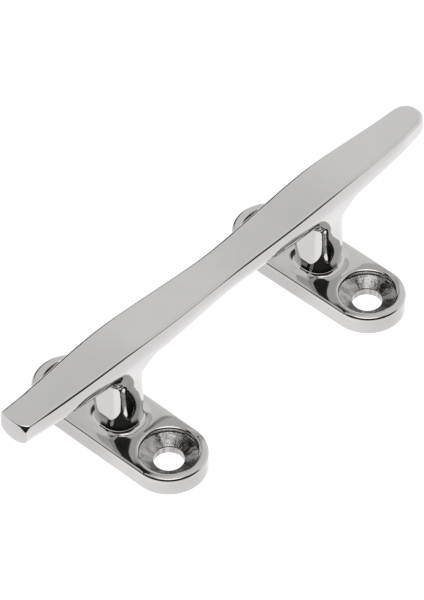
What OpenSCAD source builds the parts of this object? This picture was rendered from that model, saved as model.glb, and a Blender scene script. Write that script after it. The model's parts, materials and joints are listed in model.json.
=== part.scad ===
// Open-base horn cleat, polished stainless steel.
// Origin: centre of the deck face, +Z up, bar along X, screw pairs along Y.

/* [Horn bar] */
// Length of the bar from tip to tip
bar_l = 125; // [115:1:150]
// Width of the bar over the feet
bar_w_foot = 10.4; // [9.6:0.1:11]
// Width of the bar at the middle of its length
bar_w_mid = 8.6; // [7:0.1:9]
// Width of the bar at its tips
bar_w_tip = 7.2; // [5.6:0.1:8]
// Height of the top face over the feet, above the deck
bar_top = 28.2; // [27.8:0.1:34]
// How far the top face dips at the middle
bar_dip = 1.3; // [0:0.1:2]
// How far the top face drops at the tips
bar_droop = 0.3; // [0:0.1:1]
// Height of the line where the straight sides turn into the round underside
bar_axis_z = 25; // [24.2:0.1:25.4]
// Radius of the corners of the tips, seen from above
tip_r = 1.6; // [0.8:0.1:2.4]

/* [Feet] */
// Distance between the feet, centre to centre along X
foot_pitch = 63; // [56:0.5:76]
// Distance between the two holes of one foot, along Y
hole_pitch = 28.8; // [28:0.1:40]
// Width of a base pad along X
pad_w = 16.9; // [15.6:0.1:20]
// Thickness of a base pad
pad_t = 4.5; // [4.2:0.1:5.2]
// Radius of the rounded top edge of a pad
pad_edge_r = 0.7; // [0.3:0.1:1]

/* [Screw holes] */
// Diameter of the through holes
hole_d = 6.6; // [5:0.1:7]
// Diameter of the countersinks at the top face
sink_d = 12.8; // [11:0.1:13.6]
// Depth of the upright wall at the top of a countersink
sink_wall = 1; // [0.2:0.1:1.2]
// Depth of the cone below that wall
sink_cone = 1.6; // [1.2:0.1:2.9]

/* [Legs] */
// Half width of a post at its foot
leg_foot = 4.9; // [4.5:0.05:5]
// Half width of a post at its waist
leg_waist = 4.2; // [3.9:0.05:4.4]
// Radius of the rounded corners of a post
leg_corner = 2.6; // [2:0.1:2.8]
// Height of the joint between a post and the neck of the bar
seat_z = 16; // [15:0.1:17]
// Radius of the neck, where a post flares along the underside of the bar
neck_r = 3.2; // [3:0.1:5.2]
// Size of the fillet bead round the foot of a post
weld_r = 2; // [0.8:0.1:2.2]

/* [Hidden] */
$fn = 72;

// Clearance round a spigot in its socket
fit = 0.02;
// Radius of the spigots, and their lengths into the pad and into the bar
spigot_r = 2.5;
spigot_down = 3;
spigot_up = 4;
// Centre of a foot along X
foot_x = foot_pitch / 2;
// End of the straight taper of a horn, where the corner of the tip begins
tip_x = bar_l / 2 - tip_r;
// Height at which the straight foot of a post ends, just above its bead
foot_top = pad_t + 1.2 * weld_r;
// Height at which the neck begins to flare along the bar
neck_z = bar_axis_z - bar_w_foot / 2 - neck_r;
// Height at which a post reaches its waist
waist_z = neck_z - 2;
// Height at which the neck ends, inside the bar
neck_top = bar_axis_z - 1;
// How far the root of the neck, and the side of its top, lie inside the bar
root_depth = 0.3;
side_depth = 0.15;
// Half the distance across the rounded corners of a post of half width h
function corner_reach(h) = (h - leg_corner) * sqrt(2) + leg_corner;
// Steps along half of the bar, and round one curve
bar_steps = 24;
curve_steps = 8;

steel = [0.78, 0.78, 0.77];
bead = [0.70, 0.70, 0.69];

// Points on an arc round [cx, cy] with radius r, from angle a0 to a1
function arc(cx, cy, r, a0, a1) =
    [for (i = [0 : curve_steps])
        let (a = a0 + (a1 - a0) * i / curve_steps)
        [cx + r * cos(a), cy + r * sin(a)]];

// The points mirrored across the second axis, in the opposite order
function mirrored(pts) = [for (i = [len(pts) - 1 : -1 : 0]) [-pts[i][0], pts[i][1]]];

// Share of the way from the foot to the tip
function along_horn(x) = (x - foot_x) / (bar_l / 2 - foot_x);

// Half width of the bar at a distance x from its middle
function bar_half(x) =
    x < foot_x
    ? bar_w_foot / 2 - (bar_w_foot - bar_w_mid) * (1 + cos(180 * x / foot_x)) / 4
    : bar_w_foot / 2 - (bar_w_foot - bar_w_tip) / 2 * pow(along_horn(x), 1.5);

// Height of the top face at a distance x from the middle
function bar_height(x) =
    x < foot_x
    ? bar_top - bar_dip * (1 + cos(180 * x / foot_x)) / 2
    : bar_top - bar_droop * pow(along_horn(x), 2);

// Edge of the bar seen from above, from the middle to the end of the tip
bar_edge = concat(
    [for (i = [0 : bar_steps - 1]) let (x = tip_x * i / bar_steps) [x, bar_half(x)]],
    arc(tip_x, bar_half(tip_x) - tip_r, tip_r, 90, 0));

// Half of the outline seen from above, on the +Y side
half_outline = concat([[-bar_l / 2, 0]], mirrored(bar_edge),
                      [for (i = [1 : len(bar_edge) - 1]) bar_edge[i]], [[bar_l / 2, 0]]);

// Foot of a post, [half width, z]: straight behind its bead, then in to the waist
function foot_edge(foot, waist) = concat(
    [[foot, pad_t]],
    [for (i = [0 : curve_steps])
        let (s = i / curve_steps)
        [waist + (foot - waist) * pow(1 - s, 2), foot_top + (waist_z - foot_top) * s]]);

// A side view, [half width, z], drawn thick along Y
module thick_view(edge) {
    translate([0, bar_w_foot, 0])
        rotate([90, 0, 0])
            linear_extrude(height = 2 * bar_w_foot)
                polygon(concat(edge, mirrored(edge)));
}

// Half a turn of a section round the axis of the bar, on its underside
module under_axis() {
    translate([0, 0, bar_axis_z])
        rotate([0, 90, 0])
            rotate([0, 0, -90])
                rotate_extrude(angle = 180)
                    children();
}

// Section of the neck and the post below it, [distance from the axis, x]
module neck_section() {
    root = bar_w_foot / 2 - root_depth;
    side = arc(root + neck_r, leg_waist + neck_r, neck_r, 180, 270);
    other_side = [for (i = [len(side) - 1 : -1 : 0]) [side[i][0], -side[i][1]]];
    polygon(concat([[0, leg_waist + neck_r]], side,
        [[bar_axis_z, leg_waist], [bar_axis_z, -leg_waist]],
        other_side, [[0, -leg_waist - neck_r]]));
}

// Post and neck in one, from the pad up into the bar
module post_blank() {
    corner_foot = corner_reach(leg_foot);
    corner_waist = corner_reach(leg_waist);
    intersection() {
        union() {
            thick_view(foot_edge(leg_foot, leg_waist));
            under_axis() neck_section();
        }
        rotate(90)
            thick_view(concat(foot_edge(leg_foot, leg_waist),
                [for (i = [1 : curve_steps])
                    let (a = 90 * i / curve_steps)
                    [leg_waist + (bar_w_foot / 2 - side_depth - leg_waist) * (1 - cos(a)),
                     neck_z + (neck_top - neck_z) * sin(a)]]));
        rotate_extrude()
            polygon(concat([[0, pad_t]], foot_edge(corner_foot, corner_waist),
                arc(corner_waist + neck_r, neck_z, neck_r, 180, 90),
                [[corner_waist + neck_r, neck_top], [0, neck_top]]));
    }
}

// Straight-sided upper part of the bar, between the axis and the top face
module bar_upper() {
    top = [for (i = [-bar_steps : bar_steps])
        let (x = bar_l / 2 * i / bar_steps) [x, bar_height(abs(x))]];
    intersection() {
        translate([0, 0, bar_axis_z])
            linear_extrude(height = bar_top - bar_axis_z) {
                polygon(half_outline);
                mirror([0, 1]) polygon(half_outline);
            }
        translate([0, bar_w_foot, 0])
            rotate([90, 0, 0])
                linear_extrude(height = 2 * bar_w_foot)
                    polygon(concat([[bar_l / 2, 0], [-bar_l / 2, 0]], top));
    }
}

module horn_bar() {
    color(steel)
        difference() {
            union() {
                bar_upper();
                // Round underside: the outline turned round the axis of the bar
                under_axis() polygon([for (p = half_outline) [p[1], p[0]]]);
                for (x = [-foot_x, foot_x])
                    translate([x, 0, 0])
                        intersection() {
                            post_blank();
                            translate([-bar_w_foot, -bar_w_foot, seat_z])
                                cube([2 * bar_w_foot, 2 * bar_w_foot, bar_top]);
                        }
            }
            for (x = [-foot_x, foot_x])
                translate([x, 0, seat_z - 1])
                    cylinder(r = spigot_r + fit, h = spigot_up + 1 + fit);
        }
}

module leg() {
    color(steel) {
        intersection() {
            post_blank();
            translate([-bar_w_foot, -bar_w_foot, 0])
                cube([2 * bar_w_foot, 2 * bar_w_foot, seat_z]);
        }
        translate([0, 0, pad_t - spigot_down])
            cylinder(r = spigot_r, h = seat_z + spigot_up - pad_t + spigot_down);
    }
}

// Section of a lobe of the pad: flat top, rounded top edge, upright side
module pad_section() {
    r = pad_w / 2;
    square([r, pad_t - pad_edge_r]);
    square([r - pad_edge_r, pad_t]);
    translate([r - pad_edge_r, pad_t - pad_edge_r]) circle(r = pad_edge_r);
}

// Section of a screw hole and its countersink, [radius, z]
module hole_section() {
    cone_top = pad_t - sink_wall;
    polygon([[0, -1], [hole_d / 2, -1], [hole_d / 2, cone_top - sink_cone],
        [sink_d / 2, cone_top], [sink_d / 2, pad_t + 1], [0, pad_t + 1]]);
}

module pad() {
    b = hole_pitch / 2;
    color(steel)
        difference() {
            union() {
                translate([0, b, 0])
                    rotate([90, 0, 0])
                        linear_extrude(height = hole_pitch) {
                            pad_section();
                            mirror([1, 0]) pad_section();
                        }
                translate([0, b, 0]) rotate_extrude(angle = 180) pad_section();
                translate([0, -b, 0]) rotate(180) rotate_extrude(angle = 180) pad_section();
            }
            for (y = [-b, b])
                translate([0, y, 0]) rotate_extrude() hole_section();
            translate([0, 0, pad_t - spigot_down - fit])
                cylinder(r = spigot_r + fit, h = spigot_down + 1);
        }
}

// Section of the bead: a hollow fillet between the pad and the post
module bead_section() {
    difference() {
        square(weld_r);
        translate([weld_r, weld_r]) circle(r = weld_r - 0.05);
    }
}

module leg_weld() {
    inner = leg_foot - leg_corner;
    color(bead)
        translate([0, 0, pad_t])
            for (a = [0 : 90 : 270])
                rotate(a) {
                    translate([leg_foot + fit, inner, 0])
                        rotate([90, 0, 0])
                            linear_extrude(height = 2 * inner) bead_section();
                    translate([inner, inner, 0])
                        rotate_extrude(angle = 90)
                            translate([leg_corner + fit, 0]) bead_section();
                }
}

horn_bar();
translate([-foot_x, 0, 0]) leg();  // near_leg
translate([foot_x, 0, 0]) leg();  // far_leg
translate([-foot_x, 0, 0]) pad();  // near_pad
translate([foot_x, 0, 0]) pad();  // far_pad
translate([-foot_x, 0, 0]) leg_weld();  // near_leg_weld
translate([foot_x, 0, 0]) leg_weld();  // far_leg_weld
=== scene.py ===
"""Looks of the open-base horn cleat: hand-polished steel on a pale floor.

Shapes are worked out in millimetres and written to the meshes in metres.
"""
import json
import math

import bmesh
import bpy
import numpy as np
from mathutils import Matrix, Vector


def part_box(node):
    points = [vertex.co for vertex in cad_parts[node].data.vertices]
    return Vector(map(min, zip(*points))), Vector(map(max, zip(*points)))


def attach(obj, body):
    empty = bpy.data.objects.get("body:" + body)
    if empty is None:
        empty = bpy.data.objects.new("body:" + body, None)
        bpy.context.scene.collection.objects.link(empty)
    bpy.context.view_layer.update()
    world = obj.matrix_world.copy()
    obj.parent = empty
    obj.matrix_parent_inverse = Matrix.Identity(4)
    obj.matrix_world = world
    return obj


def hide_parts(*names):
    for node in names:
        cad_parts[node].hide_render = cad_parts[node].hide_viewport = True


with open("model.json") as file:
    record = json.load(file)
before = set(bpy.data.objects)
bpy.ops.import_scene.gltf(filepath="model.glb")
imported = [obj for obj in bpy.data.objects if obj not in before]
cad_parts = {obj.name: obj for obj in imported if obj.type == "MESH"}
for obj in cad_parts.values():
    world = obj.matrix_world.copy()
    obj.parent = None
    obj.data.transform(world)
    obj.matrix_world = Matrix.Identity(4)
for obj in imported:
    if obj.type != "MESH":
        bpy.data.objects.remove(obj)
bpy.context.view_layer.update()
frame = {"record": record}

MM = 0.001


def box_mm(node):
    """Lowest and highest corner of a CAD node, in millimetres."""
    return [np.array(corner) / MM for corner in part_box(node)]


# ---------------------------------------------------------------- dimensions
screws = next(m for m in frame["record"]["mounts"] if m["name"] == "deck_screws")["dims"]
FOOT_X = screws["spacing_x_mm"] / 2      # centre of a foot along the bar
HOLE_Y = screws["spacing_y_mm"] / 2      # centre of a screw hole across the bar
HOLE_R = screws["hole_r_mm"]             # radius of a screw hole
SINK_R = 6.4                             # radius of a countersink at its rim
PAD_R = box_mm("far_pad")[1][0] - FOOT_X   # half width of a pad, and radius of its ends
PAD_T = box_mm("far_pad")[1][2]          # thickness of a pad
SEAT_Z = box_mm("horn_bar")[0][2]        # joint between a post and the neck of the bar
HALF_L = box_mm("horn_bar")[1][0]        # half the length of the bar

# Sections of the bar at even steps from its middle to its tip
BAR_HALF = [4.26, 4.56, 4.98, 5.12, 4.80, 4.18, 3.58]         # half width of the top face
BAR_TOP = [26.90, 27.15, 27.65, 28.20, 28.15, 27.90, 27.78]   # height of the top face
BAR_AXIS = [23.90, 23.75, 23.60, 23.60, 23.85, 24.20, 24.60]  # height of the widest line
BAR_DEPTH = [2.75, 3.10, 3.40, 3.20, 2.65, 2.20, 2.10]        # from there to the lowest line
DRAFT = 0.25             # how much wider each side is at the widest line than at the top
HORN_END = 12            # length at each tip over which that extra width is lost
TILT = 0.25              # how far the tilt of the bar raises its far tip and lowers the near one

TOP_EDGE_R = 0.65        # rounding along the top edges of the bar
EDGE_SPAN = (-8, -1)     # where it turns into a tip's own rounding, from HALF_L
TOP_CROWN = 0.0025       # faint crown: the top face falls by this times y squared
# Reach along X, rounding of the upright corners, bulge and top rounding of each tip
NEAR_TIP = (61.95, 0.35, 0.2, 0.25)
FAR_TIP = (64.1, 2.8, 0.7, 0.9)
BULGE_AT = (3.4, 24.5, 4.5)   # half width, middle height and half height of that bulge
LEAN = 0.12              # slope of the near tip's end just below its top edge
LEAN_TURN = 4.0          # how far below the edge that slope has turned back
WORN = (1.5, 2.1, 1.3)   # size of the worn corner of the near tip, along X, Y and Z
WORN_R = 7.0             # radius of the dome that it is worn to
WORN_DROP = 0.3          # how far the dome falls from its middle, at most
WORN_PROUD = 0.04        # how far its middle stands proud of a flat cut
WORN_EDGE_R = 0.12       # rounding of its edges
SWAY = 0.35              # how far the very end of the far tip leans towards +Y
SWAY_SPAN = (-9, 1)      # where it does so, from HALF_L
SET = 0.12               # how far both horns are set towards -Y
POST_WAIST = 4.3         # half width of a post at its waist
POST_FOOT = 4.9          # half width of a post at its foot
POST_SWELL = 1.3         # how late the widening to the foot sets in, 1 for an even slope
POST_CORNER = 2.6        # rounding of a post's corners
FOOT_CORNER = 4.2        # rounding of its corners at its foot
WAIST_Z = 15.5           # height of the waist
# The foot's corners begin this far below the waist and are whole this far above the pad
FOOT_SPAN = (4, 0.5)
NECK_R = 2.9             # flare of the neck along the underside of the bar
# From this far above the seat to this far above the widest line of the bar, the sides of
# the neck widen to those of the bar, and its corners fade out
NECK_SPAN = (0.5, 0.8)
CORNER_SPAN = (1.5, 0.5)
# Along the bar, the neck ends this far past its flare and is whole this far from its waist
NECK_REACH = (5, 1)
WELD_R = 0.45            # tight hollow fillet round the foot of a post
WELD_LIFT = 0.004        # gap between the bead's lowest ring and the pad
WELD_INNER = 0.93        # size of its hidden inner wall, as a share of its top ring
APRON = 2.0              # width of the shallow apron outside that fillet
APRON_RISE = 0.5         # height of the apron where it meets the post


# ------------------------------------------------------------ implicit shape
def natural_spline(ys):
    """Smooth curve through even steps along half of the bar, level at its middle."""
    n = len(ys)
    h = HALF_L / (n - 1)
    a = np.zeros((n, n))
    b = np.zeros(n)
    a[0, 0], a[0, 1] = 2 * h, h
    b[0] = 6 * (ys[1] - ys[0]) / h
    a[-1, -1] = 1.0
    for i in range(1, n - 1):
        a[i, i - 1], a[i, i], a[i, i + 1] = h, 4 * h, h
        b[i] = 6 * (ys[i + 1] - 2 * ys[i] + ys[i - 1]) / h
    m = np.linalg.solve(a, b)
    ys = np.array(ys)

    def curve(x):
        x = np.clip(np.abs(x), 0, HALF_L)
        i = np.clip((x / h).astype(int), 0, n - 2)
        v = x - i * h
        u = h - v
        return ((m[i] * u ** 3 + m[i + 1] * v ** 3) / (6 * h)
                + (ys[i] / h - m[i] * h / 6) * u
                + (ys[i + 1] / h - m[i + 1] * h / 6) * v)
    return curve


bar_half = natural_spline(BAR_HALF)
bar_top = natural_spline(BAR_TOP)
bar_axis = natural_spline(BAR_AXIS)
bar_depth = natural_spline(BAR_DEPTH)


def smoothstep(x, x0, x1):
    t = np.clip((x - x0) / (x1 - x0), 0.0, 1.0)
    return t * t * (3 - 2 * t)


def round_meet(a, b, r):
    """Intersection of two solids, with its edge rounded to radius r."""
    u, v = a + r, b + r
    return np.hypot(np.maximum(u, 0), np.maximum(v, 0)) - r + np.minimum(np.maximum(u, v), 0)


def round_join(a, b, r):
    """Union of two solids, with a hollow fillet of radius r between them."""
    u, v = r - a, r - b
    return r - np.hypot(np.maximum(u, 0), np.maximum(v, 0)) + np.maximum(np.minimum(-u, -v), 0)


def post_half(z):
    """Half width of a post at height z, below the neck."""
    t = np.clip((WAIST_Z - z) / (WAIST_Z - PAD_T), 0, 1)
    return POST_WAIST + (POST_FOOT - POST_WAIST) * t ** POST_SWELL


def post_corner(z, axis):
    """Rounding of the corners of a post, which fades out inside the bar."""
    foot = smoothstep(-z, -WAIST_Z + FOOT_SPAN[0], -PAD_T - FOOT_SPAN[1])
    low = POST_CORNER + (FOOT_CORNER - POST_CORNER) * foot
    return low * (1 - smoothstep(z, SEAT_Z + CORNER_SPAN[0], axis + CORNER_SPAN[1]))


def worn_corner(x, y, z):
    """A gently domed cut across the front top corner of the near tip."""
    corner = np.array([-NEAR_TIP[0], -BAR_HALF[-1], BAR_TOP[-1] - TILT])
    middle = corner + np.array([WORN[0], WORN[1], -WORN[2]]) / 3   # centre of the flat cut
    axis = np.array([-1 / WORN[0], -1 / WORN[1], 1 / WORN[2]])
    axis /= np.linalg.norm(axis)
    p = [c - m for c, m in zip((x, y, z), middle)]
    along = sum(c * a for c, a in zip(p, axis))
    across = sum(c ** 2 for c in p) - along ** 2
    return along + np.minimum(across / (2 * WORN_R), WORN_DROP) - WORN_PROUD


def body(x, y, z):
    """Bar, necks and posts as one field: below zero inside."""
    ax = np.abs(x)
    off_foot = np.abs(ax - FOOT_X)
    y = y + SET * smoothstep(ax, FOOT_X, HALF_L - HORN_END)
    y = y - SWAY * smoothstep(x, HALF_L + SWAY_SPAN[0], HALF_L + SWAY_SPAN[1])
    ay = np.abs(y)
    lift = TILT * x / HALF_L
    half, depth = bar_half(x), bar_depth(x)
    top, axis = bar_top(x) + lift, bar_axis(x) + lift
    # Section of the bar: nearly upright walls over half an ellipse
    wide = half + DRAFT * (1 - smoothstep(ax, HALF_L - HORN_END, HALF_L))
    dy, dz = y / wide, (z - axis) / depth
    ring = np.sqrt(dy ** 2 + dz ** 2) + 1e-9
    slope = np.sqrt((dy / wide) ** 2 + (dz / depth) ** 2) / ring + 1e-9
    wall_half = wide + (half - wide) * np.clip((z - axis) / (top - axis), 0, 1.2) ** 2
    under = np.where(z < axis, (ring - 1) / slope, ay - wall_half)
    # Posts, and the necks that flare into the bar
    belly = round_join(under, off_foot - post_half(z), NECK_R)
    rise = smoothstep(z, SEAT_Z + NECK_SPAN[0], axis + NECK_SPAN[1])
    near_post = smoothstep(-off_foot, -POST_WAIST - NECK_R - NECK_REACH[0],
                           -POST_WAIST - NECK_REACH[1])
    side_half = wall_half + (post_half(z) - wall_half) * (1 - rise) * near_post
    corner = np.maximum(post_corner(z, axis) * near_post, 1e-4)
    walls = round_meet(belly, ay - side_half, corner)
    # The two tips
    far = x > 0
    reach, plan_r, bulge, tip_r = (np.where(far, b, a) for a, b in zip(NEAR_TIP, FAR_TIP))
    bulge_y, bulge_mid, bulge_z = BULGE_AT
    end = ax - reach + bulge * ((y / bulge_y) ** 2 + ((z - bulge_mid) / bulge_z) ** 2)
    drop = top - z
    end = end - np.where(far, 0, LEAN * (drop - drop ** 2 / (2 * LEAN_TURN)))
    closed = round_meet(walls, end, plan_r)
    # The top face
    at_tip = smoothstep(ax, HALF_L + EDGE_SPAN[0], HALF_L + EDGE_SPAN[1])
    edge_r = TOP_EDGE_R + (tip_r - TOP_EDGE_R) * at_tip
    roof = z - top + TOP_CROWN * y ** 2
    return round_meet(round_meet(closed, roof, edge_r), worn_corner(x, y, z), WORN_EDGE_R)


def foot_field(x, y, z):
    """The post with the apron and the fillet that join it to its pad."""
    post = body(x, y, z)
    apron = PAD_T + APRON_RISE * np.clip(1 - post / APRON, 0, 1) ** 2
    return round_join(post, z - apron, WELD_R)


def gradient(field, p, step=0.01):
    """Gradient of a field at each of the points, by central differences."""
    g = np.empty_like(p)
    for k in range(3):
        d = np.zeros(3)
        d[k] = step
        a, b = p + d, p - d
        g[:, k] = (field(*a.T) - field(*b.T)) / (2 * step)
    return g


def unit_gradient(field, p):
    g = gradient(field, p)
    return g / np.linalg.norm(g, axis=1)[:, None]


def surface_net(field, axes):
    """Quads on the zero level of a field, over a grid with the given axes."""
    grid = np.stack(np.meshgrid(*axes, indexing="ij"), axis=-1)
    f = field(grid[..., 0], grid[..., 1], grid[..., 2])
    cells = tuple(n - 1 for n in f.shape)
    total = np.zeros(cells + (3,))
    count = np.zeros(cells)
    for axis in range(3):
        others = [k for k in range(3) if k != axis]
        for i, j in ((0, 0), (0, 1), (1, 0), (1, 1)):
            start = [slice(0, n) for n in cells]
            start[others[0]] = slice(i, i + cells[others[0]])
            start[others[1]] = slice(j, j + cells[others[1]])
            stop = list(start)
            stop[axis] = slice(1, 1 + cells[axis])
            fa, fb = f[tuple(start)], f[tuple(stop)]
            cross = (fa < 0) != (fb < 0)
            t = np.where(cross, fa / np.where(cross, fa - fb, 1), 0)[..., None]
            point = grid[tuple(start)] * (1 - t) + grid[tuple(stop)] * t
            total += np.where(cross[..., None], point, 0)
            count += cross
    used = count > 0
    index = np.full(cells, -1)
    index[used] = np.arange(used.sum())
    points = total[used] / count[used][:, None]
    quads = []
    for axis in range(3):
        b, c = [(1, 2), (2, 0), (0, 1)][axis]
        start = [slice(1, n) for n in cells]
        start[axis] = slice(0, cells[axis])
        stop = list(start)
        stop[axis] = slice(1, 1 + cells[axis])
        fa, fb = f[tuple(start)] < 0, f[tuple(stop)] < 0
        at = np.argwhere(fa != fb)
        outward = fa[fa != fb]
        at += [0 if k == axis else 1 for k in range(3)]
        corners = []
        for db, dc in ((0, 0), (1, 0), (1, 1), (0, 1)):
            q = at.copy()
            q[:, b] -= db
            q[:, c] -= dc
            corners.append(index[q[:, 0], q[:, 1], q[:, 2]])
        quad = np.stack(corners, axis=1)
        quad[~outward] = quad[~outward][:, ::-1]
        quads.append(quad)
    return points, np.concatenate(quads)


def settle(field, p, rounds=6):
    """Moves points onto the zero level of a field."""
    for _ in range(rounds):
        g = gradient(field, p)
        p = p - (field(*p.T) / np.maximum((g ** 2).sum(1), 1e-6))[:, None] * g
    return p


def finish_mesh(name, verts, faces, loop_normals, material, node):
    """Makes the object, in metres, with its own shading normals."""
    mesh = bpy.data.meshes.new(name)
    mesh.from_pydata([tuple(v) for v in np.asarray(verts) * MM], [], faces)
    mesh.shade_smooth()
    mesh.normals_split_custom_set([tuple(n) for n in loop_normals])
    mesh.materials.append(material)
    obj = bpy.data.objects.new(name, mesh)
    bpy.context.collection.objects.link(obj)
    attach(obj, "root")
    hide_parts(node)


# ------------------------------------------------------------------ the pieces
def steps(*spans):
    """Grid lines from spans of (start, stop, step), each without its stop."""
    return np.concatenate([np.arange(a, b - 1e-6, step) for a, b, step in spans])


def build_bar(material):
    """The bar and its two necks, closed with a flat cap at each seat."""
    # Grid over the bar, finer at the tips, the sides and the top
    along = steps((-63.4, -59, 0.2), (-59, 60, 0.46), (60, 65, 0.3))
    across = steps((-5.7, -3, 0.27), (-3, 3, 0.46), (3, 5.9, 0.27))
    height = steps((14.1, 25.4, 0.42), (25.4, 28.9, 0.24))
    points, quads = surface_net(body, (along, across, height))
    points = settle(body, points)
    bm = bmesh.new()
    verts = [bm.verts.new(p) for p in points]
    for q in quads:
        bm.faces.new([verts[i] for i in q])
    everything = bm.verts[:] + bm.edges[:] + bm.faces[:]
    bmesh.ops.bisect_plane(bm, geom=everything, dist=1e-5, plane_co=(0, 0, SEAT_Z),
                           plane_no=(0, 0, 1), clear_inner=True)
    rim = [edge for edge in bm.edges if edge.is_boundary]
    caps = set(bmesh.ops.edgeloop_fill(bm, edges=rim)["faces"])
    bm.verts.index_update()
    verts = np.array([v.co[:] for v in bm.verts])
    normals = unit_gradient(body, verts)
    faces, loops = [], []
    for face in bm.faces:
        ids = [v.index for v in face.verts]
        if face in caps:
            if face.normal.z > 0:
                ids = ids[::-1]
            loops += [(0, 0, -1)] * len(ids)
        else:
            loops += [normals[i] for i in ids]
        faces.append(ids)
    bm.free()
    finish_mesh("horn_bar_polished", verts, faces, loops, material, "horn_bar")


def build_rings(name, rings, before, after, material, node, caps=True):
    """Closed skin over rings of points; before and after are the shading
    normals on the two sides of each ring."""
    n = len(rings[0])
    verts = np.concatenate(rings)
    faces, loops = [], []
    last = len(rings) - 1
    for j in range(last if caps else last + 1):
        up = (j + 1) % len(rings)
        for i in range(n):
            k = (i + 1) % n
            faces.append([j * n + i, j * n + k, up * n + k, up * n + i])
            loops += [after[j][i], after[j][k], before[up][k], before[up][i]]
    if caps:
        faces.append(list(range(n))[::-1])
        loops += list(before[0][::-1])
        faces.append([last * n + i for i in range(n)])
        loops += list(after[last])
    finish_mesh(name, verts, faces, loops, material, node)


TURN = np.linspace(0, 2 * math.pi, 144, endpoint=False)   # angles round a post


def ray_ring(field, cx, z, r0, r1):
    """Points of a field's zero level round a post at height z, found between
    the radii r0 and r1."""
    ca, sa = np.cos(TURN), np.sin(TURN)
    level = np.full(len(TURN), z)
    lo, hi = np.full(len(TURN), r0), np.full(len(TURN), r1)
    for _ in range(40):
        mid = (lo + hi) / 2
        inside = field(cx + mid * ca, mid * sa, level) < 0
        lo, hi = np.where(inside, mid, lo), np.where(inside, hi, mid)
    return np.stack([cx + lo * ca, lo * sa, level], axis=1)


def flat_normals(z):
    return np.tile((0, 0, z), (len(TURN), 1))


def build_leg(name, cx, material, node):
    """A post from its pad up to its seat under the neck, with flat ends."""
    levels = np.linspace(PAD_T, SEAT_Z, 32)
    rings = [ray_ring(body, cx, z, 1.0, 8.0) for z in levels]
    normals = [unit_gradient(body, ring) for ring in rings]
    before = [flat_normals(-1.0)] + normals[1:]
    after = normals[:-1] + [flat_normals(1.0)]
    build_rings(name, rings, before, after, material, node)


def build_weld(name, cx, material, node):
    """Hollow fillet bead: its skin, and a short wall hidden inside the post."""
    share = np.linspace(0, 1, 20) ** 2
    heights = PAD_T + WELD_LIFT + (APRON_RISE + WELD_R) * share
    rings = [ray_ring(foot_field, cx, z, 1.0, 12.0) for z in heights]
    normals = [unit_gradient(foot_field, ring) for ring in rings]
    centre = np.array([cx, 0, 0])
    inner = (rings[-1] - centre) * [WELD_INNER, WELD_INNER, 1] + centre
    inner_low = inner.copy()
    inner_low[:, 2] = heights[0]
    side = (centre - inner) * [1, 1, 0]
    side /= np.linalg.norm(side, axis=1)[:, None]
    rings += [inner, inner_low]
    normals += [side, side]
    build_rings(name, rings, normals, normals, material, node, caps=False)


PAD_EDGE_R = 0.65        # rounding of a pad's top edge
PAD_FOOT_R = 0.12        # tiny bevel round its underside
BEVEL_TILT = (0.6, -0.8)     # outward and upward lean of that bevel's normal
CROWN = 0.07             # slope of the pad's top where that rounding starts
CROWN_REACH = 2.6        # how far inside the edge the slope begins
RIM = (0.7, 0.35)        # width and depth of the rounded rim of a countersink
RIM_LEVEL = 0.5          # width of the level strip round it
SINK_WALL = 1.0          # upright wall below the rim, rounding included
SINK_CONE = 1.6          # depth of the cone below it
SINK_LIP_R = 0.25        # softened corner between the hole and the cone
SINK_HOLLOW_R = 0.5      # hollow corner between the cone and the wall
CORNER_STEPS = 4         # facets on each of these two corners
RIM_STEPS = 8            # facets on the rim
EDGE_STEPS = 9           # facets on the rounding of the pad's top edge


def crown(p):
    """Height and normal of a pad's top face, which falls away towards its edge."""
    off = np.stack([p[:, 0], np.sign(p[:, 1]) * np.maximum(np.abs(p[:, 1]) - HOLE_Y, 0)], axis=1)
    dist = np.linalg.norm(off, axis=1)
    t = np.clip((dist - (PAD_R - PAD_EDGE_R - CROWN_REACH)) / CROWN_REACH, 0, None)
    height = PAD_T - CROWN * CROWN_REACH * t ** 3 / 3
    slope = CROWN * t ** 2
    away = off / np.maximum(dist, 1e-6)[:, None]
    normal = np.column_stack([away * slope[:, None], np.ones(len(p))])
    return height, normal / np.linalg.norm(normal, axis=1)[:, None]


def sink_profile():
    """Section of a hole from below: radius, height, and the tilt of the
    surface before and after the point, as (radial, z) normals."""
    low, wall_z = PAD_T - SINK_WALL - SINK_CONE, PAD_T - SINK_WALL
    bevel = (-BEVEL_TILT[0], BEVEL_TILT[1])
    points = [(HOLE_R + PAD_FOOT_R, 0.0, bevel, bevel), (HOLE_R, PAD_FOOT_R, bevel, (-1, 0))]
    slope = math.atan2(SINK_CONE, SINK_R - HOLE_R)
    bend = math.pi / 2 - slope
    # Softened corner between the hole and the cone
    reach = SINK_LIP_R * math.tan(bend / 2)
    for i in range(CORNER_STEPS + 1):
        a = bend * i / CORNER_STEPS
        n = (-math.cos(a), math.sin(a))
        radius = HOLE_R + SINK_LIP_R * (1 - math.cos(a))
        points.append((radius, low - reach + SINK_LIP_R * math.sin(a), n, n))
    # Hollow corner between the cone and the wall
    reach = SINK_HOLLOW_R * math.tan(bend / 2)
    for i in range(CORNER_STEPS + 1):
        a = bend * (1 - i / CORNER_STEPS)
        n = (-math.cos(a), math.sin(a))
        radius = SINK_R - SINK_HOLLOW_R * (1 - math.cos(a))
        points.append((radius, wall_z + reach - SINK_HOLLOW_R * math.sin(a), n, n))
    # Rounded rim
    for i in range(1, RIM_STEPS + 1):
        a = math.radians(90 * i / RIM_STEPS)
        n = np.array([-RIM[1] * math.cos(a), RIM[0] * math.sin(a)])
        n /= np.linalg.norm(n)
        radius = SINK_R + RIM[0] * (1 - math.cos(a))
        points.append((radius, PAD_T - RIM[1] * (1 - math.sin(a)), n, n))
    return points


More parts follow.
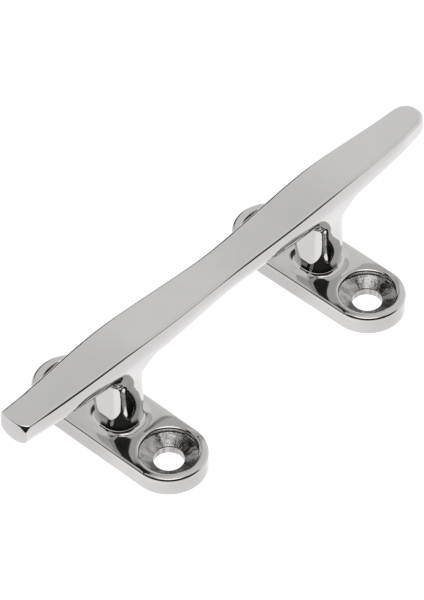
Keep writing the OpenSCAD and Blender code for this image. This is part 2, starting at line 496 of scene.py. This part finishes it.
def pad_outline(inset, side_steps=22, end_steps=64):
    """Outline of half a pad, on the -Y side, from (+r, 0) round to (-r, 0)."""
    r = PAD_R - inset
    points = [(r, -HOLE_Y * i / side_steps) for i in range(side_steps)]
    for i in range(end_steps + 1):
        a = math.pi * i / end_steps
        points.append((r * math.cos(a), -HOLE_Y - r * math.sin(a)))
    points += [(-r, -HOLE_Y * (side_steps - 1 - i) / side_steps) for i in range(side_steps)]
    return np.array(points)


class Skin:
    """A mesh built from strips between rings, with its own shading normals."""

    def __init__(self, cx):
        self.bm = bmesh.new()
        self.cx = cx
        self.normals = {}

    def ring(self, points, z):
        """New points, at one height or at a height for each."""
        z = np.broadcast_to(z, len(points))
        return [self.bm.verts.new((self.cx + p[0], p[1], h)) for p, h in zip(points, z)]

    def strip(self, ring_a, ring_b, normal_a, normal_b):
        """Faces between two rings, and the shading normals at their corners."""
        n = len(ring_a)
        for i in range(n):
            k = (i + 1) % n
            face = self.bm.faces.new([ring_a[i], ring_a[k], ring_b[k], ring_b[i]])
            self.normals[face] = [normal_a[i], normal_a[k], normal_b[k], normal_b[i]]

    def finish(self, name, material, node):
        """Welds the strips, turns every face outwards and makes the object."""
        bmesh.ops.remove_doubles(self.bm, verts=self.bm.verts[:], dist=1e-4)
        self.bm.verts.index_update()
        verts = np.array([v.co[:] for v in self.bm.verts])
        faces, loops = [], []
        for face in self.bm.faces:
            face.normal_update()
            ids, normals = [v.index for v in face.verts], self.normals[face]
            if np.dot(np.sum(normals, axis=0), face.normal) < 0:
                ids, normals = ids[::-1], normals[::-1]
            faces.append(ids)
            loops += [tuple(n) for n in normals]
        self.bm.free()
        finish_mesh(name, verts, faces, loops, material, node)


def tilted(out, n):
    """Normals that lean by (radial, z) along the given directions."""
    return np.column_stack([out * n[0], np.full(len(out), n[1])])


def build_pad(name, cx, material, node):
    """Pad with a crowned top, rounded edges and two countersunk holes."""
    skin = Skin(cx)
    edge = pad_outline(PAD_EDGE_R)
    cross_steps, top_steps = 22, 9
    across = [((PAD_R - PAD_EDGE_R) * (2 * i / cross_steps - 1), 0.0) for i in range(1, cross_steps)]
    half_loop = np.concatenate([edge, across])
    down = (0.0, -1.0)
    for sign in (-1, 1):
        loop = half_loop * [1, -sign]
        centre = np.array([0, sign * HOLE_Y])
        out = loop - centre
        out /= np.linalg.norm(out, axis=1)[:, None]
        profile = sink_profile()
        skin.strip(skin.ring(loop, 0.0), skin.ring(centre + out * profile[0][0], 0.0),
                   tilted(out, down), tilted(out, down))
        for (r0, z0, _, n0), (r1, z1, n1, _) in zip(profile, profile[1:]):
            skin.strip(skin.ring(centre + out * r0, z0), skin.ring(centre + out * r1, z1),
                       tilted(out, n0), tilted(out, n1))
        rim = centre + out * profile[-1][0]
        rows = []
        for j in range(top_steps + 1):
            t = j / top_steps
            p = rim + (loop - rim) * t
            height, normal = crown(p)
            # The rim itself is level all the way round
            fade = smoothstep(np.linalg.norm(p - rim, axis=1), 0.0, RIM_LEVEL)[:, None]
            height = PAD_T + (height - PAD_T) * fade[:, 0]
            normal = normal * fade + np.array([0, 0, 1]) * (1 - fade)
            rows.append((p, height, normal / np.linalg.norm(normal, axis=1)[:, None]))
        for (p0, z0, n0), (p1, z1, n1) in zip(rows, rows[1:]):
            skin.strip(skin.ring(p0, z0), skin.ring(p1, z1), n0, n1)

    # Edge and side wall, all the way round
    toward = np.array([(p[0], min(0.0, p[1] + HOLE_Y)) for p in edge])
    toward /= np.linalg.norm(toward, axis=1)[:, None]
    core = np.concatenate([edge, (edge * -1)[1:-1]])
    out = np.concatenate([toward, (toward * -1)[1:-1]])
    brow = crown(core)[0]
    start = math.atan(CROWN)
    wall = []
    for i in range(EDGE_STEPS + 1):
        a = math.pi / 2 - start - (math.pi / 2 - start) * i / EDGE_STEPS
        n = (math.cos(a), math.sin(a))
        wall.append((PAD_EDGE_R * n[0], PAD_EDGE_R * n[1], n))
    first_off, first_z = wall[0][:2]
    spread = PAD_EDGE_R / (PAD_EDGE_R - first_off)
    sections = [((off - first_off) * spread, brow + (z - first_z), n) for off, z, n in wall]
    sections.append((PAD_EDGE_R, PAD_FOOT_R, (1, 0)))
    for (off0, z0, n0), (off1, z1, n1) in zip(sections, sections[1:]):
        skin.strip(skin.ring(core + out * off0, z0), skin.ring(core + out * off1, z1),
                   tilted(out, n0), tilted(out, n1))
    low = core + out * (PAD_EDGE_R - PAD_FOOT_R)
    skin.strip(skin.ring(core + out * PAD_EDGE_R, PAD_FOOT_R), skin.ring(low, 0.0),
               tilted(out, BEVEL_TILT), tilted(out, BEVEL_TILT))
    skin.strip(skin.ring(low, 0.0), skin.ring(core, 0.0), tilted(out, down), tilted(out, down))
    skin.finish(name, material, node)


# ------------------------------------------------------------------- materials
# Noises, each as its stretch, scale and detail
CLOUD = ((1, 1, 1), 240, 5)          # patches of duller polish
LINES = ((0.5, 12, 12), 450, 3)      # fine polishing lines along the bar
SWELL = ((1, 1, 1), 55, 1)           # slow waves that hand polishing leaves
STREAKS = ((0.35, 1.5, 1), 1.6, 6)   # in a countersink, by distance and angle
PITS = ((1, 1, 1), 900, 6)           # in a countersink too

POLAR = (900.0, 1.6)         # scale of that distance in metres and angle in radians
PIT_SHARE = 0.2              # weight of the pits beside the streaks
RELIEF_UNIT = 0.00001        # height of one unit of relief, in metres
SWELL_RELIEF = 15.0          # units of relief in the slow waves
SINK_RELIEF = 12.0           # units of relief in a countersink
TINT = (0.99, 1.01)          # brightness of the steel in the two kinds of patch
SINK_FADE = (0.2, 0.15)      # a countersink's finish fades out this far inside and outside
                             # its rim
SINK_DARKEN = (0.1, 0.45)     # how much darker it is, where its marks run high and where they run low
SIDE_PAINTED_SHADE = 0.08             # painted shade: how much darker the upright sides of the pads are, low down by the floor
SIDE_FROM = (1.3, 0.7)       # depth below a pad's top where that fades out


class Tree:
    """Shorthand for building a node tree."""

    def __init__(self, owner):
        owner.use_nodes = True
        self.tree = owner.node_tree
        self.tree.nodes.clear()

    def node(self, kind, settings=(), **values):
        """A new node, with its settings and its inputs by name."""
        made = self.tree.nodes.new(kind)
        for key, value in dict(settings).items():
            setattr(made, key, value)
        for key, value in values.items():
            self.feed(made.inputs[key.replace("_", " ")], value)
        return made

    def feed(self, socket, value):
        """Links an output into the socket, or sets the socket's own value."""
        if isinstance(value, bpy.types.NodeSocket):
            self.tree.links.new(value, socket)
        else:
            socket.default_value = value

    def math(self, op, a, b=0.0):
        made = self.node("ShaderNodeMath", {"operation": op})
        self.feed(made.inputs[0], a)
        self.feed(made.inputs[1], b)
        return made.outputs[0]

    def ramp(self, value, x0, x1, y0, y1):
        """A smooth step from y0 to y1, as the value goes from x0 to x1."""
        made = self.node("ShaderNodeMapRange", {"interpolation_type": "SMOOTHSTEP"},
                         Value=value, From_Min=x0, From_Max=x1, To_Min=y0, To_Max=y1)
        return made.outputs["Result"]

    def noise(self, vector, stretch, scale, detail):
        """Noise whose grain is longer along the axes with a small stretch."""
        scaled = self.node("ShaderNodeVectorMath", {"operation": "MULTIPLY"})
        self.feed(scaled.inputs[0], vector)
        self.feed(scaled.inputs[1], stretch)
        made = self.node("ShaderNodeTexNoise", Vector=scaled.outputs[0], Scale=scale, Detail=detail)
        return made.outputs["Fac"]


def countersink_mask(tree, x, y):
    """1 inside the four countersinks and 0 outside, then the offsets along X
    and Y and the distance from the nearest hole's centre."""
    off_x = tree.math("SUBTRACT", tree.math("ABSOLUTE", x), FOOT_X * MM)
    off_y = tree.math("SUBTRACT", tree.math("ABSOLUTE", y), HOLE_Y * MM)
    square = tree.math("ADD", tree.math("MULTIPLY", off_x, off_x), tree.math("MULTIPLY", off_y, off_y))
    radius = tree.math("SQRT", square)
    inner, outer = (SINK_R - SINK_FADE[0]) * MM, (SINK_R + SINK_FADE[1]) * MM
    mask = tree.ramp(radius, inner, outer, 1.0, 0.0)
    return mask, off_x, off_y, radius


def steel(name, colour, smooth, brush, sink=None):
    """Polished steel: smooth is its range of roughness, brush the relief of
    the fine polishing lines, and sink the range of roughness in a countersink,
    which only the pads have."""
    mat = bpy.data.materials.new(name)
    tree = Tree(mat)
    place = tree.node("ShaderNodeTexCoord").outputs["Object"]
    cloud = tree.noise(place, *CLOUD)
    lines = tree.noise(place, *LINES)
    swell = tree.noise(place, *SWELL)
    rough = tree.ramp(cloud, 0.3, 0.7, *smooth)
    shine = tree.ramp(cloud, 0.3, 0.7, *TINT)
    relief = tree.math("MULTIPLY", lines, brush)
    relief = tree.math("ADD", relief, tree.math("MULTIPLY", swell, SWELL_RELIEF))
    if sink:
        x, y, z = tree.node("ShaderNodeSeparateXYZ", Vector=place).outputs
        mask, off_x, off_y, radius = countersink_mask(tree, x, y)
        # Streaks that run outwards from the hole, over fine pits
        angle = tree.math("ARCTAN2", off_y, off_x)
        polar = tree.node("ShaderNodeCombineXYZ", X=tree.math("MULTIPLY", radius, POLAR[0]),
                          Y=tree.math("MULTIPLY", angle, POLAR[1])).outputs[0]
        streaks = tree.noise(polar, *STREAKS)
        pits = tree.noise(place, *PITS)
        marks = tree.math("ADD", streaks, tree.math("MULTIPLY", pits, PIT_SHARE))
        inside = tree.ramp(marks, 0.35, 0.85, *sink)
        rough = tree.math("ADD", tree.math("MULTIPLY", inside, mask),
                          tree.math("MULTIPLY", rough, tree.math("SUBTRACT", 1.0, mask)))
        cut = tree.math("MULTIPLY", tree.math("MULTIPLY", marks, mask), SINK_RELIEF)
        relief = tree.math("ADD", relief, cut)
        sink_dark = tree.math("MULTIPLY", tree.ramp(marks, 0.75, 0.45, *SINK_DARKEN), mask)
        # Painted shade: the upright sides of a pad are darkened low down, next to the floor
        low, high = [(PAD_T - depth) * MM for depth in SIDE_FROM]
        upright = tree.ramp(z, low, high, SIDE_PAINTED_SHADE, 0)
        shine = tree.math("SUBTRACT", shine, tree.math("ADD", sink_dark, upright))
    bump = tree.node("ShaderNodeBump", Strength=1.0, Distance=RELIEF_UNIT, Height=relief)
    tint = tree.node("ShaderNodeVectorMath", {"operation": "MULTIPLY"})
    tree.feed(tint.inputs[0], colour)
    grey = tree.node("ShaderNodeCombineXYZ", X=shine, Y=shine, Z=shine)
    tree.feed(tint.inputs[1], grey.outputs[0])
    shader = tree.node("ShaderNodeBsdfPrincipled", Metallic=1.0, Base_Color=tint.outputs[0],
                       Roughness=rough, Normal=bump.outputs[0])
    tree.node("ShaderNodeOutputMaterial", Surface=shader.outputs[0])
    return mat


bar_steel = steel("bar_steel", (0.60, 0.594, 0.584), (0.02, 0.06), 0.06)
pad_steel = steel("pad_steel", (0.57, 0.56, 0.545), (0.03, 0.09), 0.06, sink=(0.08, 0.30))
bead_steel = steel("bead_steel", (0.585, 0.575, 0.56), (0.03, 0.09), 0.06)

build_bar(bar_steel)
for side, cx in (("near", -FOOT_X), ("far", FOOT_X)):
    build_leg(side + "_leg_polished", cx, bar_steel, side + "_leg")
    build_weld(side + "_weld_blend", cx, bead_steel, side + "_leg_weld")
    build_pad(side + "_pad_polished", cx, pad_steel, side + "_pad")


# ------------------------------------------------------------- floor and light
FLOOR_GLOW = 1.04            # brightness of the floor
STRIP_GLOW = 0.22            # how much brighter it is in a strip beside the bar
STRIP_X = (-0.067, -0.055)   # the strip fades in here along X, in metres
STRIP_Y_IN = (-0.030, -0.017)    # it fades in here along Y
STRIP_Y_OUT = (-0.008, 0.002)    # and out here

# The studio, by bearing from +X towards +Y and by height above the horizon, in degrees
RIGHT_WALL = (-60, -43)      # the right wall fades in over these bearings
LEFT_WALL = (139, 150)       # the left wall fades out over these
FRONT_FOOT = (1, 8)          # heights between which the dark front fades in
FRONT_TOP = (68, 76)         # and fades out
GAP_IN = (52, 57)            # bearings over which the gap between two cloths fades in
GAP_OUT = (74, 82)           # and fades out
GAP_TOP = (32, 41)           # heights over which it closes
GAP_DEPTH = 0.97             # share of the cloth that is missing there
# Steps of brightness: from and to where, and the brightness at each end
LAMP = (72, 79, 0, 1.2)      # the lamp overhead, by height
ROOM = (10, 68, 0.01, 0.05)  # what shows in the dark front and the gap, by height
# The cloth of the walls is the sum of these
CLOTH_BY_HEIGHT = [(0, 40, 1.04, 0.92), (40, 54, 0, -0.10), (50, 62, 0, 0.07)]
CLOTH_BY_BEARING = (34, 54, 0.02, -0.04)


def build_floor(half=3.0, below=0.0002):
    """A wide plain floor that glows like a light table, most beside the bar."""
    mesh = bpy.data.meshes.new("floor")
    corners = [(-half, -half), (half, -half), (half, half), (-half, half)]
    mesh.from_pydata([(x, y, -below) for x, y in corners], [], [(0, 1, 2, 3)])
    mat = bpy.data.materials.new("floor_pale")
    tree = Tree(mat)
    place = tree.node("ShaderNodeTexCoord").outputs["Object"]
    x, y, _ = tree.node("ShaderNodeSeparateXYZ", Vector=place).outputs
    strip = tree.math("MINIMUM", tree.ramp(y, *STRIP_Y_IN, 0, 1), tree.ramp(y, *STRIP_Y_OUT, 1, 0))
    strip = tree.math("MULTIPLY", strip, tree.ramp(x, *STRIP_X, 0, 1))
    strength = tree.math("ADD", tree.math("MULTIPLY", strip, STRIP_GLOW), FLOOR_GLOW)
    glow = tree.node("ShaderNodeEmission", Color=(1, 0.99, 1, 1), Strength=strength)
    tree.node("ShaderNodeOutputMaterial", Surface=glow.outputs[0])
    mesh.materials.append(mat)
    floor = bpy.data.objects.new("floor", mesh)
    bpy.context.collection.objects.link(floor)


def build_studio():
    """Light tent: pale walls, a lamp overhead, and an open, darker front."""
    world = bpy.data.worlds.new("studio")
    bpy.context.scene.world = world
    tree = Tree(world)
    look = tree.node("ShaderNodeTexCoord").outputs["Generated"]
    dx, dy, dz = tree.node("ShaderNodeSeparateXYZ", Vector=look).outputs
    bearing = tree.math("MULTIPLY", tree.math("ARCTAN2", dy, dx), 180 / math.pi)
    height = tree.math("MULTIPLY", tree.math("ARCSINE", dz), 180 / math.pi)
    # The dark front is where neither wall is
    right_wall = tree.ramp(bearing, *RIGHT_WALL, 0, 1)
    left_wall = tree.ramp(bearing, *LEFT_WALL, 1, 0)
    front = tree.math("SUBTRACT", 1.0, tree.math("MULTIPLY", right_wall, left_wall))
    shade = tree.math("MULTIPLY", front, tree.ramp(height, *FRONT_FOOT, 0, 1))
    shade = tree.math("MULTIPLY", shade, tree.ramp(height, *FRONT_TOP, 1, 0))
    # A narrow gap between two cloths, low behind the cleat
    gap = tree.math("MULTIPLY", tree.ramp(bearing, *GAP_IN, 0, 1), tree.ramp(bearing, *GAP_OUT, 1, 0))
    gap = tree.math("MULTIPLY", gap, tree.ramp(height, *GAP_TOP, GAP_DEPTH, 0))
    shade = tree.math("MAXIMUM", shade, gap)
    cloth = tree.ramp(bearing, *CLOTH_BY_BEARING)
    for step in CLOTH_BY_HEIGHT:
        cloth = tree.math("ADD", cloth, tree.ramp(height, *step))
    lit = tree.math("MULTIPLY", cloth, tree.math("SUBTRACT", 1.0, shade))
    dim = tree.math("MULTIPLY", tree.ramp(height, *ROOM), shade)
    total = tree.math("ADD", tree.math("ADD", lit, dim), tree.ramp(height, *LAMP))
    background = tree.node("ShaderNodeBackground", Color=(1, 1, 1, 1), Strength=total)
    tree.node("ShaderNodeOutputWorld", Surface=background.outputs[0])


build_floor()
build_studio()

# ----------------------------------------------------------------------- camera
AZIMUTH = math.radians(-46.54)
ELEVATION = math.radians(45.985)
ROLL = math.radians(-0.636)
DISTANCE = 0.79173
AIM = (-0.001919, 0.010923)   # how far right of and above the origin it looks
SENSOR = 36.0                 # height of the sensor, in millimetres
LENS = 219.354                # focal length, in millimetres


def build_camera():
    """Long lens, looking down from the side of -X and -Y."""
    ca, sa = math.cos(AZIMUTH), math.sin(AZIMUTH)
    ce, se = math.cos(ELEVATION), math.sin(ELEVATION)
    level = np.array([ca, sa, 0])
    back = np.array([sa * ce, -ca * ce, se])
    upright = np.cross(back, level)
    right = math.cos(ROLL) * level + math.sin(ROLL) * upright
    up = -math.sin(ROLL) * level + math.cos(ROLL) * upright
    eye = right * AIM[0] + up * AIM[1] + back * DISTANCE
    lens = bpy.data.cameras.new("camera")
    lens.sensor_fit = "VERTICAL"
    lens.sensor_height = SENSOR
    lens.lens = LENS
    camera = bpy.data.objects.new("camera", lens)
    bpy.context.collection.objects.link(camera)
    rows = [[right[i], up[i], back[i], eye[i]] for i in range(3)]
    camera.matrix_world = Matrix(rows + [[0, 0, 0, 1]])
    bpy.context.scene.camera = camera
    bpy.context.scene.view_settings.view_transform = "Standard"


build_camera()
